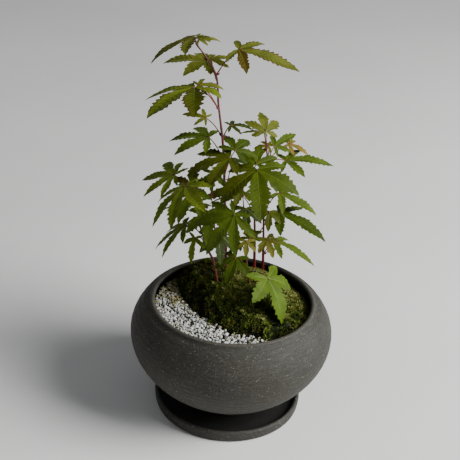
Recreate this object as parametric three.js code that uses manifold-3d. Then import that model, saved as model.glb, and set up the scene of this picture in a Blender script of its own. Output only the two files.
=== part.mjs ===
// A small pot of japanese maple seedlings: five slender red stems with palmate leaves stand in a
// round stoneware bowl on its saucer, with a mound of moss and a crescent of white grit on the soil.
// Millimetres, +Z up. The origin is the centre of the saucer's flat underside, and -Y is the front.

import * as THREE from "three";
import { mergeVertices } from "three/addons/utils/BufferGeometryUtils.js";
import Module from "manifold-3d";

const wasm = await Module();
wasm.setup();

// ---------------------------------------------------------------- driving sizes

const GAP = 0.3; // clearance between pieces that touch

// Saucer
const SAUCER_RADIUS = 44.5;
const SAUCER_HEIGHT = 7.6;
const SAUCER_WALL = 2.6;
const SAUCER_FLOOR = 3.6;

// Bowl
const BELLY_RADIUS = 60;
const BELLY_HEIGHT = 51.5;
const RIM_RADIUS = 49;
const RIM_HEIGHT = 72.8;
const RIM_WIDTH = 3;
const BOWL_WALL = 5.2;
const FOOT_RADIUS = 25;
const FOOT_WIDTH = 4.5;
const FOOT_RECESS = 2;
const FOOT_BOTTOM = SAUCER_FLOOR + GAP;
const BOWL_FLOOR = 11; // top of the bowl's floor
const BOWL_FLOOR_RADIUS = 21;
const POT_SEGMENTS = 40;

// Planting
const SOIL_TOP = 60; // ground level, where the stems are cut flat
const GROUND = SOIL_TOP + GAP;
const GRIT_TOP = 67;
const GRIT_RADIUS = 47.6;
const MOSS_RADIUS = 45.4;
const MOSS_EDGE_TOP = 64.5;
const MOSS_CROWN = 3.5; // rise of the whole mound from its edge
const MOSS_EDGE_FALL = 0.45; // share of a cushion's rise that is lost at the edge
const GRIT_FALL = 1.2; // from the middle of the grit to its edge
const COVER_LINE = { x: 32, y: 32, radius: 66 }; // circle that parts moss from grit
const LINE_HEIGHT = 100;
const LINE_SEGMENTS = 80;
const COVER_SEGMENTS = 28;
const MOSS_CUSHIONS = [
  { x: -20, y: 27, spread: 17, rise: 12 },
  { x: 8, y: 26, spread: 19, rise: 6 },
  { x: 20, y: -4, spread: 17, rise: 5.5 },
  { x: -3, y: -2, spread: 15, rise: 6 },
];

// Stems and boughs: radius at the foot and at the tip, and the way from foot to tip
const LIMBS = {
  stem_tall: {
    foot: 1.1,
    tip: 0.45,
    way: [[-4.5, 21, GROUND], [-6, 20, 90], [-8, 19, 120], [-11, 17, 160], [-15, 15, 188],
      [-17, 14, 205], [-23, 13, 216], [-28, 12.5, 222.5]],
  },
  stem_left: {
    foot: 0.95,
    tip: 0.42,
    way: [[-8, 12, GROUND], [-9.5, 12, 72], [-13, 11, 90], [-16, 11, 97], [-21, 10, 111], [-25.5, 8, 134]],
  },
  stem_middle: {
    foot: 1.0,
    tip: 0.45,
    way: [[12, 33, GROUND], [12, 33, 72], [11, 31, 93], [10, 30, 108], [8, 28, 127], [6.5, 26, 139]],
  },
  stem_right: {
    foot: 0.9,
    tip: 0.42,
    way: [[17.5, 38, GROUND], [17.4, 38, 72], [16.4, 37, 92], [15.5, 37, 107], [15, 36, 127], [15, 35, 146]],
  },
  stem_small: {
    foot: 0.75,
    tip: 0.4,
    way: [[10, 12, GROUND], [9.5, 12, 73], [7.5, 12, 84], [6, 13, 95]],
  },
};
const BOUGHS = {
  bough_left_rear: {
    limb: "stem_left",
    at: 98,
    foot: 0.5,
    tip: 0.38,
    way: [[-13, 13.5, 104], [-15, 15, 123], [-16.5, 15.5, 131]],
  },
  bough_middle_left: {
    limb: "stem_middle",
    at: 93,
    foot: 0.55,
    tip: 0.4,
    way: [[5.3, 29, 101.5], [3, 27, 118]],
  },
};
const FLARE = 0.7; // how much wider a stem is at the ground, as a share of its radius
const FLARE_HEIGHT = 7;
const STEM_SIDES = 8;
const BOUGH_SIDES = 6;
const LIMB_STEP = 9; // length of one ring-to-ring stretch

// Leaves. Angles in degrees: heading 0 is +X and 90 is +Y.
// turn is each lobe's angle from the middle one, reach its length as a share of the middle
// lobe's, width a lobe's half width as a share of its length, and sinus how far the blade stays
// whole between two lobes, as a share of the shorter one.
const PALM = {
  seven: { turn: [0, 40, 80, 125], reach: [1, 0.9, 0.64, 0.36], width: 0.145, sinus: 0.34 },
  five: { turn: [0, 46, 95], reach: [1, 0.86, 0.56], width: 0.18, sinus: 0.34 },
  broad: { turn: [0, 52, 105], reach: [1, 0.88, 0.54], width: 0.21, sinus: 0.34 },
  three: { turn: [0, 58, 112], reach: [1, 0.6, 0.38], width: 0.155, sinus: 0.34 },
  young: { turn: [0, 60, 115], reach: [1, 0.74, 0.5], width: 0.22, sinus: 0.46 },
};
const LOBE_WIDEST = 0.5;
const LOBE_TAPER = 0.78;
const PLAIN_LOBE = 0.65; // a lobe shorter than this share of the leaf tapers straight to its tip
const LOBE_TAPER_WIDTH = 0.78;
const NOTCH = 0.08; // where the leaf stalk meets the blade
const REAR_TURN = 30; // from the rear lobes to that notch
const LOBE_SWING = 4; // most that a side lobe's angle strays
const LOBE_GROWTH = 0.06; // most that its length strays, as a share
const LEAF_DROOP = 0.24;
const LEAF_THICKNESS = 0.55;
const STALK_RADIUS = 0.42;
const STALK_TAPER = 0.3;
const STALK_SIDES = 3;
const STALK_STEPS = 4;
const STALK_SINK = 2.5; // how far a stalk runs on into its blade
const STALK_BOW = 0.1; // rise of its middle, as a share of its length
const BUD_RADIUS = 0.6;

// Each mass: the limb it grows on and the height there, or its tip, then its leaves as
// [x, y, z, heading, pitch, roll, size, form], where x, y, z is the stalk end of the blade.
const MASSES = {
  leaves_top_left: {
    limb: "stem_tall",
    tip: true,
    leaves: [[-30, 13.5, 226.5, 200, -14, 12, 26, "young"], [-27.5, 15, 225, 15, 8, 10, 12, "three"]],
  },
  leaves_top_right: { limb: "stem_tall", at: 206, leaves: [[-6, 13, 221.5, -12, -1, 10, 34, "three"]] },
  leaves_top_rear: {
    limb: "stem_tall",
    at: 203,
    leaves: [[-23, 24, 209.5, 170, 6, -5, 24, "young"], [-21.5, 24.5, 210.5, 24, 12, 6, 13, "broad"]],
  },
  leaves_upper_left: {
    limb: "stem_tall",
    at: 186,
    leaves: [[-28, 0, 203.5, -137, -2, 10, 33, "broad"], [-26.5, 2, 204, 5, 8, 15, 14, "three"]],
  },
  leaves_young_left: { limb: "stem_tall", at: 169, leaves: [[-22, 22, 177, 165, 10, -25, 14, "three"]] },
  leaves_young_right: { limb: "stem_tall", at: 168, leaves: [[-8, 18, 175, 20, 0, 10, 15, "three"]] },
  leaves_mid_left: { limb: "stem_tall", at: 154, leaves: [[-19.5, 20, 166, 166, 0, -8, 24, "five"]] },
  leaves_mid_front: {
    limb: "stem_tall",
    at: 144,
    leaves: [[-7, 8, 160, 196, -8, -12, 25, "five"], [-4.5, 12, 162.5, 61, 12, 20, 18, "broad"]],
  },
  leaves_low_front: { limb: "stem_tall", at: 94, leaves: [[-12, 6, 113.5, -70, -35, -10, 19, "five"]] },
  leaves_low_right: { limb: "stem_tall", at: 110, leaves: [[-2.5, -10, 134, -143, -42, -22, 27, "seven"]] },
  leaves_left_top: {
    limb: "stem_left",
    tip: true,
    leaves: [
      [-38, 16, 143, 154, -12, -20, 25, "seven"],
      [-30.5, -10, 150, -108, -12, 28, 30, "seven"],
      [-26, 8, 138, -130, -40, -10, 20, "five"],
      [-27, 10, 138, 95, 40, 0, 16, "broad"],
    ],
  },
  leaves_left_front: { limb: "stem_left", at: 98, leaves: [[-17.5, 3.5, 128, -85, -48, 5, 20, "five"]] },
  leaves_left_low: { limb: "stem_left", at: 109, leaves: [[-30, 11, 113.5, 180, -30, 0, 24, "seven"]] },
  leaves_left_new: { limb: "stem_left", at: 104, leaves: [[-24, 0, 112, -114, -55, 12, 15, "three"]] },
  leaves_middle_front: {
    limb: "stem_middle",
    tip: true,
    leaves: [[8.5, 11.5, 152, -84, -20, 8, 31, "broad"], [8, 18, 152, 82, 36, 0, 15, "broad"]],
  },
  leaves_middle_left: {
    limb: "bough_middle_left",
    tip: true,
    leaves: [[1, 26, 131, 193, 0, -20, 23, "three"]],
  },
  leaves_middle_low: { limb: "stem_middle", at: 112, leaves: [[4, 21, 122, -84, -34, 0, 15, "five"]] },
  leaves_middle_right: { limb: "stem_middle", at: 97, leaves: [[24, 31.5, 115, -28, -2, 5, 32, "three"]] },
  leaves_right_top: {
    limb: "stem_right",
    tip: true,
    leaves: [
      [12.5, 37, 164, 101, 38, 10, 16, "broad"],
      [11.5, 36.5, 164, 178, 5, 5, 14, "three"],
      [18.5, 42, 153, 38, 24, 25, 18, "three"],
      [15.5, 38.5, 154.5, 180, 0, -20, 9, "five"],
      [26.5, 46.5, 153, 0, -12, 15, 15, "three"],
      [25.5, 35.5, 147.5, 4, 9, 8, 28, "three"],
    ],
  },
  leaves_right_out: { limb: "stem_right", at: 113, leaves: [[23.5, 37.5, 125, -20, -8, 8, 25, "three"]] },
  leaves_right_middle: { limb: "stem_right", at: 108, leaves: [[18, 24.5, 119, -92, -30, 0, 12, "five"]] },
  leaves_right_young: { limb: "stem_right", at: 92, leaves: [[17.5, 27, 99, -60, -30, 10, 12, "broad"]] },
  leaves_right_low: { limb: "stem_right", at: 82, leaves: [[22.5, 38.5, 91.5, -12, -11, -5, 29, "three"]] },
  leaves_small_top: {
    limb: "stem_small",
    tip: true,
    leaves: [
      [1.5, 11.5, 104.5, 196, 12, -20, 12, "five"],
      [5.5, 10, 106.5, -88, -36, 0, 10, "five"],
      [7, 14.5, 105, 50, 20, 0, 12, "broad"],
    ],
  },
  leaves_small_left: { limb: "stem_small", at: 86, leaves: [[0, 2.5, 99, -112, -26, 0, 16, "broad"]] },
  leaves_small_right: { limb: "stem_small", at: 84, leaves: [[19, -5, 91, -47, -37, -8, 27, "young"]] },
  leaves_rear_tall: { limb: "stem_tall", at: 132, leaves: [[-5, 33, 146, 72, -12, 0, 26, "seven"]] },
  leaves_rear_bough: {
    limb: "bough_left_rear",
    tip: true,
    leaves: [[-15.5, 14.5, 147, -100, -40, 0, 11, "five"]],
  },
  leaves_rear_left: { limb: "stem_left", at: 114, leaves: [[-26, 22, 121, 120, -15, 5, 25, "five"]] },
  leaves_rear_middle: { limb: "stem_middle", at: 112, leaves: [[2, 42, 119, 125, -15, 0, 26, "seven"]] },
  leaves_rear_right: { limb: "stem_right", at: 124, leaves: [[14.5, 27, 142, -40, -30, 10, 12, "broad"]] },
};

const COLOUR = {
  bowl: 0x47443f,
  saucer: 0x504e4a,
  soil: 0x2c2119,
  moss: 0x3f4a16,
  grit: 0xd9dad6,
  bark: 0x5a1f1d,
  leaf: 0x4f6b1e,
};

// ---------------------------------------------------------------- small tools

const radians = THREE.MathUtils.degToRad;

// Repeatable numbers from -1 to 1.
function dice(seed) {
  let state = (seed * 7919 + 104729) % 2147483647;
  return () => {
    state = (state * 16807) % 2147483647;
    return (state / 2147483647) * 2 - 1;
  };
}

function solid(geometry) {
  const bare = geometry.clone();
  bare.deleteAttribute("normal");
  bare.deleteAttribute("uv");
  const merged = mergeVertices(bare, 1e-4);
  return new wasm.Manifold(
    new wasm.Mesh({
      numProp: 3,
      vertProperties: merged.attributes.position.array,
      triVerts: new Uint32Array(merged.index.array),
    }),
  );
}

function geometryOf(body) {
  const mesh = body.getMesh();
  const geometry = new THREE.BufferGeometry();
  geometry.setAttribute("position", new THREE.BufferAttribute(new Float32Array(mesh.vertProperties), 3));
  geometry.setIndex(new THREE.BufferAttribute(new Uint32Array(mesh.triVerts), 1));
  geometry.computeVertexNormals();
  return geometry;
}

// A profile of [radius, height] pairs turned round the Z axis.
function turned(profile, segments) {
  const points = profile.map(([r, z]) => new THREE.Vector2(r, z));
  const geometry = new THREE.LatheGeometry(points, segments);
  geometry.rotateX(Math.PI / 2);
  return geometry;
}

const group = new THREE.Group();

function add(name, geometry, color, roughness) {
  const material = new THREE.MeshStandardMaterial({ color, roughness, metalness: 0 });
  const mesh = new THREE.Mesh(geometry, material);
  mesh.name = name;
  group.add(mesh);
}

// ---------------------------------------------------------------- saucer and bowl

function saucer() {
  const r = SAUCER_RADIUS;
  const inner = r - SAUCER_WALL;
  return turned([
    [0, 0], [r - 2.5, 0], [r - 1, 0.9], [r, 5], [r - 0.3, SAUCER_HEIGHT - 0.6], [r - 1.2, SAUCER_HEIGHT],
    [inner, SAUCER_HEIGHT - 0.7], [inner - 0.6, SAUCER_FLOOR + 1.4], [inner - 2.2, SAUCER_FLOOR],
    [0, SAUCER_FLOOR],
  ], POT_SEGMENTS);
}

// The bowl's outside: a full belly that draws in to the foot below and to the rim above.
const SHOULDER = 1.9;
const LOWER = 1.47;
const LOWER_RADIUS = 10;
const LOWER_HEIGHT = 4;

function outerRadius(z) {
  if (z >= BELLY_HEIGHT) {
    const rise = Math.min((z - BELLY_HEIGHT) / (RIM_HEIGHT - BELLY_HEIGHT), 1);
    return RIM_RADIUS + (BELLY_RADIUS - RIM_RADIUS) * Math.cos(Math.asin(rise)) ** SHOULDER;
  }
  const drop = (BELLY_HEIGHT - z) / (BELLY_HEIGHT - LOWER_HEIGHT);
  return LOWER_RADIUS + (BELLY_RADIUS - LOWER_RADIUS) * Math.cos(Math.asin(drop)) ** LOWER;
}

const OUTER_HEIGHTS = [10, 15, 21, 28, 36, 44, 51.5, 57.5, 62.5, 66.5, 69.5];
const INNER_HEIGHTS = [68, 62, 54, 44, 32, 22, 17];

function innerRadius(z) {
  const mouth = RIM_RADIUS - RIM_WIDTH;
  return Math.max(Math.min(outerRadius(z) - BOWL_WALL, BELLY_RADIUS), z > BELLY_HEIGHT ? mouth : 0);
}

function bowl() {
  const lip = RIM_WIDTH / 2;
  const middle = RIM_RADIUS - lip;
  const lipPoints = [0, 45, 90, 135, 180].map((a) => [
    middle + lip * Math.cos(radians(a)),
    RIM_HEIGHT - lip + lip * Math.sin(radians(a)),
  ]);
  return turned([
    [0, FOOT_BOTTOM + FOOT_RECESS],
    [FOOT_RADIUS - FOOT_WIDTH - 1, FOOT_BOTTOM + FOOT_RECESS],
    [FOOT_RADIUS - FOOT_WIDTH, FOOT_BOTTOM],
    [FOOT_RADIUS - 0.8, FOOT_BOTTOM],
    [FOOT_RADIUS, FOOT_BOTTOM + 1],
    ...OUTER_HEIGHTS.map((z) => [outerRadius(z), z]),
    ...lipPoints,
    ...INNER_HEIGHTS.map((z) => [innerRadius(z), z]),
    [BOWL_FLOOR_RADIUS, BOWL_FLOOR],
    [0, BOWL_FLOOR],
  ], POT_SEGMENTS);
}

function soil() {
  const wall = INNER_HEIGHTS.filter((z) => z < SOIL_TOP).reverse();
  return turned([
    [0, BOWL_FLOOR + GAP],
    [BOWL_FLOOR_RADIUS - 2 * GAP, BOWL_FLOOR + GAP],
    ...wall.map((z) => [innerRadius(z) - 2 * GAP, z]),
    [innerRadius(SOIL_TOP) - 2 * GAP, SOIL_TOP],
    [0, SOIL_TOP],
  ], POT_SEGMENTS);
}

// ---------------------------------------------------------------- moss and grit

// A disc with a flat underside on the soil and a top that follows height(x, y).
function cover(radius, edgeTop, height) {
  const rings = [0.98, 0.9, 0.8, 0.68, 0.55, 0.42, 0.28, 0.14];
  const geometry = turned([
    [0, GROUND],
    [radius * 0.97, GROUND],
    [radius, edgeTop - 2],
    ...rings.map((share) => [radius * share, edgeTop]),
    [0, edgeTop],
  ], COVER_SEGMENTS);
  const at = geometry.attributes.position;
  for (let i = 0; i < at.count; i++) {
    if (at.getZ(i) === edgeTop) at.setZ(i, height(at.getX(i), at.getY(i)));
  }
  return geometry;
}

function mossHeight(x, y) {
  const edge = Math.hypot(x, y) / MOSS_RADIUS;
  let height = MOSS_EDGE_TOP + MOSS_CROWN * (1 - edge ** 4);
  for (const c of MOSS_CUSHIONS) {
    const away = ((x - c.x) ** 2 + (y - c.y) ** 2) / c.spread ** 2;
    height += c.rise * Math.exp(-away) * (1 - MOSS_EDGE_FALL * edge ** 6);
  }
  return height;
}

function gritHeight(x, y) {
  return GRIT_TOP - GRIT_FALL * (Math.hypot(x, y) / GRIT_RADIUS) ** 6;
}

// The upright cylinder over the circle that parts moss from grit.
function coverLine(radius) {
  const geometry = new THREE.CylinderGeometry(radius, radius, LINE_HEIGHT, LINE_SEGMENTS);
  geometry.rotateX(Math.PI / 2);
  geometry.translate(COVER_LINE.x, COVER_LINE.y, SOIL_TOP);
  return solid(geometry);
}

// ---------------------------------------------------------------- stems and boughs

const toVector = ([x, y, z]) => new THREE.Vector3(x, y, z);

function curveThrough(points) {
  return new THREE.CatmullRomCurve3(points, false, "catmullrom", 0.5);
}

// A round tube along a curve, whose radius follows radiusAt(share of the way along).
function tube(curve, sides, steps, radiusAt, levelFoot = false) {
  const geometry = new THREE.CylinderGeometry(1, 1, 1, sides, steps);
  const frames = curve.computeFrenetFrames(steps);
  const at = geometry.attributes.position;
  for (let i = 0; i < at.count; i++) {
    const along = at.getY(i) + 0.5;
    const ring = Math.round(along * steps);
    const tangent = frames.tangents[ring].clone();
    if (levelFoot && ring === 0) tangent.set(0, 0, 1);
    const side = frames.normals[ring].clone().projectOnPlane(tangent).normalize();
    const across = new THREE.Vector3().crossVectors(side, tangent);
    const radius = radiusAt(along);
    const place = curve.getPointAt(along);
    place.addScaledVector(side, at.getX(i) * radius).addScaledVector(across, at.getZ(i) * radius);
    at.setXYZ(i, place.x, place.y, place.z);
  }
  return geometry;
}

// A limb tapers from foot to tip, and a stem flares towards the ground.
function radiusOf(limb, along) {
  const plain = limb.foot + (limb.tip - limb.foot) * along;
  if (!limb.flares) return plain;
  const height = along * limb.curve.getLength();
  return plain * (1 + FLARE * Math.exp(-height / FLARE_HEIGHT));
}

// grow widens a limb evenly, which makes the sleeve cut out of the moss round each stem.
function limbGeometry(limb, grow = 0) {
  const steps = Math.max(3, Math.round(limb.curve.getLength() / LIMB_STEP));
  return tube(limb.curve, limb.sides, steps, (along) => radiusOf(limb, along) + grow, limb.flares);
}

// The point of a limb at a height, with the limb's radius and how far along it lies.
function pointAtHeight(limb, z) {
  let low = 0;
  let high = 1;
  for (let i = 0; i < 24; i++) {
    const middle = (low + high) / 2;
    if (limb.curve.getPointAt(middle).z < z) low = middle;
    else high = middle;
  }
  return { place: limb.curve.getPointAt(low), radius: radiusOf(limb, low) };
}

function makeLimbs() {
  const limbs = {};
  for (const [name, { foot, tip, way }] of Object.entries(LIMBS)) {
    limbs[name] = { foot, tip, curve: curveThrough(way.map(toVector)), flares: true, sides: STEM_SIDES };
  }
  for (const [name, { limb, at, foot, tip, way }] of Object.entries(BOUGHS)) {
    const root = pointAtHeight(limbs[limb], at);
    const towards = toVector(way[0]).sub(root.place);
    const start = root.place.clone().addScaledVector(flat(towards), root.radius + foot + GAP);
    const curve = curveThrough([start, ...way.map(toVector)]);
    limbs[name] = { foot, tip, curve, flares: false, sides: BOUGH_SIDES };
  }
  return limbs;
}

// The level part of a direction, at unit length.
function flat(v) {
  return new THREE.Vector3(v.x, v.y, 0).normalize();
}

// ---------------------------------------------------------------- leaves

// The lobes of one leaf, from the right-hand rear lobe round to the left-hand one, each with
// its angle and length. No two leaves are quite alike.
function lobesOf(size, form, roll) {
  const { turn, reach, width, sinus } = PALM[form];
  const lobe = (i, side) => ({
    angle: side * turn[i] + LOBE_SWING * roll(),
    length: size * reach[i] * (1 + LOBE_GROWTH * roll()),
    width,
    sinus,
  });
  const lobes = [];
  for (let i = turn.length - 1; i > 0; i--) lobes.push(lobe(i, -1));
  lobes.push({ angle: 0, length: size, width, sinus });
  for (let i = 1; i < turn.length; i++) lobes.push(lobe(i, 1));
  return lobes;
}

// The blade as a closed thin solid in its own frame: the middle lobe along +X, the face up +Z.
// Each lobe is a strip of faces each side of its midrib, and all of them meet at the stalk.
function blade(size, lobes) {
  const points = [[0, 0]];
  const faces = [];
  const rim = [];
  const put = (angle, radius, aside = 0) => {
    const a = radians(angle);
    points.push([
      radius * Math.cos(a) - aside * Math.sin(a),
      radius * Math.sin(a) + aside * Math.cos(a),
    ]);
    return points.length - 1;
  };
  const sinuses = [put(lobes[0].angle - REAR_TURN, size * NOTCH)];
  for (let i = 1; i < lobes.length; i++) {
    const between = (lobes[i - 1].angle + lobes[i].angle) / 2;
    const shorter = Math.min(lobes[i - 1].length, lobes[i].length);
    sinuses.push(put(between, lobes[i].sinus * shorter));
  }
  const last = lobes[lobes.length - 1];
  sinuses.push(put(last.angle + REAR_TURN, size * NOTCH));
  lobes.forEach(({ angle, length, width }, i) => {
    const rib = put(angle, length * LOBE_WIDEST);
    const tip = put(angle, length);
    const right = put(angle, length * LOBE_WIDEST, -length * width);
    const left = put(angle, length * LOBE_WIDEST, length * width);
    const from = sinuses[i];
    const to = sinuses[i + 1];
    faces.push([0, from, rib], [from, right, rib], [rib, left, to], [0, rib, to]);
    if (length < PLAIN_LOBE * size) {
      faces.push([right, tip, rib], [rib, tip, left]);
      rim.push(from, right, tip, left);
      return;
    }
    const outer = put(angle, length * LOBE_TAPER);
    const outerRight = put(angle, length * LOBE_TAPER, -length * width * LOBE_TAPER_WIDTH);
    const outerLeft = put(angle, length * LOBE_TAPER, length * width * LOBE_TAPER_WIDTH);
    faces.push([right, outerRight, rib], [outerRight, outer, rib], [outerRight, tip, outer]);
    faces.push([outer, tip, outerLeft], [rib, outer, outerLeft], [rib, outerLeft, left]);
    rim.push(from, right, outerRight, tip, outerLeft, left);
  });
  rim.push(sinuses[sinuses.length - 1], 0);

  const count = points.length;
  const place = [];
  for (const side of [0.5, -0.5]) {
    for (const [x, y] of points) {
      place.push(x, y, side * LEAF_THICKNESS - LEAF_DROOP * (x * x + y * y) / size);
    }
  }
  const index = faces.flatMap(([a, b, c]) => [a, b, c, a + count, c + count, b + count]);
  rim.forEach((a, i) => {
    const b = rim[(i + 1) % rim.length];
    index.push(a, a + count, b + count, a, b + count, b);
  });
  const geometry = new THREE.BufferGeometry();
  geometry.setAttribute("position", new THREE.BufferAttribute(new Float32Array(place), 3));
  geometry.setIndex(index);
  return geometry;
}

// A blade's place: its stalk end, and its axes turned by heading, pitch and roll.
function bladeMatrix(hub, heading, pitch, roll) {
  const h = radians(heading);
  const p = radians(pitch);
  const r = radians(roll);
  const ahead = new THREE.Vector3(Math.cos(h) * Math.cos(p), Math.sin(h) * Math.cos(p), Math.sin(p));
  const level = new THREE.Vector3(-Math.sin(h), Math.cos(h), 0);
  const above = new THREE.Vector3().crossVectors(ahead, level);
  const left = level.clone().multiplyScalar(Math.cos(r)).addScaledVector(above, Math.sin(r));
  const up = above.multiplyScalar(Math.cos(r)).addScaledVector(level, -Math.sin(r));
  return new THREE.Matrix4().makeBasis(ahead, left, up).setPosition(hub);
}

// The leaf stalk rises from the bud and runs on a little way into the blade.
function stalk(start, hub, ahead) {
  const bend = start.clone().add(hub).multiplyScalar(0.5);
  bend.z += STALK_BOW * start.distanceTo(hub);
  const end = hub.clone().addScaledVector(ahead, STALK_SINK);
  const curve = curveThrough([start, bend, hub, end]);
  return tube(curve, STALK_SIDES, STALK_STEPS, (along) => STALK_RADIUS * (1 - STALK_TAPER * along));
}

function leavesMass(limbs, mass, number) {
  const limb = limbs[mass.limb];
  const root = mass.tip
    ? { place: limb.curve.getPointAt(1), radius: 0 }
    : pointAtHeight(limb, mass.at);
  const away = mass.tip
    ? limb.curve.getTangentAt(1)
    : flat(toVector(mass.leaves[0]).sub(root.place));
  const start = root.place.clone().addScaledVector(away, root.radius + BUD_RADIUS + GAP);
  const bud = new THREE.IcosahedronGeometry(BUD_RADIUS, 0);
  bud.translate(start.x, start.y, start.z);
  let body = solid(bud);
  const roll = dice(number + 1);
  for (const [x, y, z, heading, pitch, tilt, size, form] of mass.leaves) {
    const hub = new THREE.Vector3(x, y, z);
    const matrix = bladeMatrix(hub, heading, pitch, tilt);
    const ahead = new THREE.Vector3().setFromMatrixColumn(matrix, 0);
    const leaf = blade(size, lobesOf(size, form, roll));
    leaf.applyMatrix4(matrix);
    body = body.add(solid(leaf)).add(solid(stalk(start, hub, ahead)));
  }
  return body;
}

// ---------------------------------------------------------------- assembly

const limbs = makeLimbs();

const sleeves = Object.values(limbs)
  .filter((limb) => limb.flares)
  .map((limb) => solid(limbGeometry(limb, 2 * GAP)));
const moss = sleeves.reduce(
  (body, sleeve) => body.subtract(sleeve),
  solid(cover(MOSS_RADIUS, MOSS_EDGE_TOP, mossHeight)).intersect(coverLine(COVER_LINE.radius)),
);
const grit = solid(cover(GRIT_RADIUS, GRIT_TOP, gritHeight)).subtract(coverLine(COVER_LINE.radius + 2 * GAP));

add("saucer", saucer(), COLOUR.saucer, 0.85);
add("bowl", bowl(), COLOUR.bowl, 0.85);
add("soil", soil(), COLOUR.soil, 1);
add("moss_mound", geometryOf(moss), COLOUR.moss, 1);
add("grit_bed", geometryOf(grit), COLOUR.grit, 0.8);
for (const [name, limb] of Object.entries(limbs)) add(name, limbGeometry(limb), COLOUR.bark, 0.6);
Object.entries(MASSES).forEach(([name, mass], number) => {
  add(name, geometryOf(leavesMass(limbs, mass, number)), COLOUR.leaf, 0.6);
});

export default group;
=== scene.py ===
# Looks for a small potted group of japanese maples. An unglazed stoneware bowl stands on its saucer,
# moss and white grit dress the soil, and slender red stems carry palmate leaves.
# Sizes are named in millimetres and meshes are made in metres, with +Z up and -Y the front.

import math

import bpy
import numpy as np
from mathutils import Matrix, Vector


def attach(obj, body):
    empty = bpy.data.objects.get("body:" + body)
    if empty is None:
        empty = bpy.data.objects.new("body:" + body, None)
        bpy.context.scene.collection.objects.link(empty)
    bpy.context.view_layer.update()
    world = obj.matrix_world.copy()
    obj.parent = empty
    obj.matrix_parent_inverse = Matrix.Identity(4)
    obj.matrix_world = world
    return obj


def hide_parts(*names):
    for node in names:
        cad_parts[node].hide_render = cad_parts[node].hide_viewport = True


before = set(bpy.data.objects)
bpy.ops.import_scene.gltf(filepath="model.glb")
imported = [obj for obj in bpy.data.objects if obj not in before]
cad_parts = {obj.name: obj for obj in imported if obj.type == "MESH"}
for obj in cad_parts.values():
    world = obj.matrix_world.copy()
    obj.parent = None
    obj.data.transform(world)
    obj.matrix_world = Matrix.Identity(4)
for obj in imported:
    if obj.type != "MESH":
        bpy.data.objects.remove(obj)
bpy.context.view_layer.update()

MM = 0.001

# ---------------- camera

CAMERA_PLACE = (-4.4, -537.3, 417.4)
CAMERA_PITCH = 29.1  # degrees down from level
CAMERA_ROLL = 3.6
CAMERA_LENS = 84.5
SENSOR_WIDTH = 36


def place_camera():
    pitch = math.radians(CAMERA_PITCH)
    roll = math.radians(CAMERA_ROLL)
    level = Vector((1, 0, 0))
    upward = Vector((0, math.sin(pitch), math.cos(pitch)))
    back = Vector((0, -math.cos(pitch), math.sin(pitch)))
    right = math.cos(roll) * level + math.sin(roll) * upward
    up = math.cos(roll) * upward - math.sin(roll) * level
    data = bpy.data.cameras.new("camera")
    data.sensor_width = SENSOR_WIDTH
    data.lens = CAMERA_LENS
    camera = bpy.data.objects.new("camera", data)
    stand = Matrix.Translation(Vector(CAMERA_PLACE) * MM)
    aim = Matrix((right, up, back)).transposed().to_4x4()
    camera.matrix_world = stand @ aim
    bpy.context.scene.collection.objects.link(camera)
    bpy.context.scene.camera = camera


place_camera()

# ---------------- finishes


def tone(code):
    """A colour from its six hexadecimal digits, as the linear numbers that a shader takes."""
    parts = [int(code[i:i + 2], 16) / 255 for i in (0, 2, 4)]
    return (*[p / 12.92 if p < 0.04045 else ((p + 0.055) / 1.055) ** 2.4 for p in parts], 1)


class Signal:
    """A shader socket that joins in sums: each operator adds one Math node."""

    def __init__(self, finish, socket):
        self.finish = finish
        self.socket = socket

    def math(self, operation, first, second):
        return self.finish.node("ShaderNodeMath", {"operation": operation}, {0: first, 1: second})

    def __add__(self, other):
        return self.math("ADD", self, other)

    def __sub__(self, other):
        return self.math("SUBTRACT", self, other)

    def __mul__(self, other):
        return self.math("MULTIPLY", self, other)

    def __gt__(self, other):
        return self.math("GREATER_THAN", self, other)

    def __lt__(self, other):
        return self.math("LESS_THAN", self, other)

    __radd__ = __add__
    __rmul__ = __mul__


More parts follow.
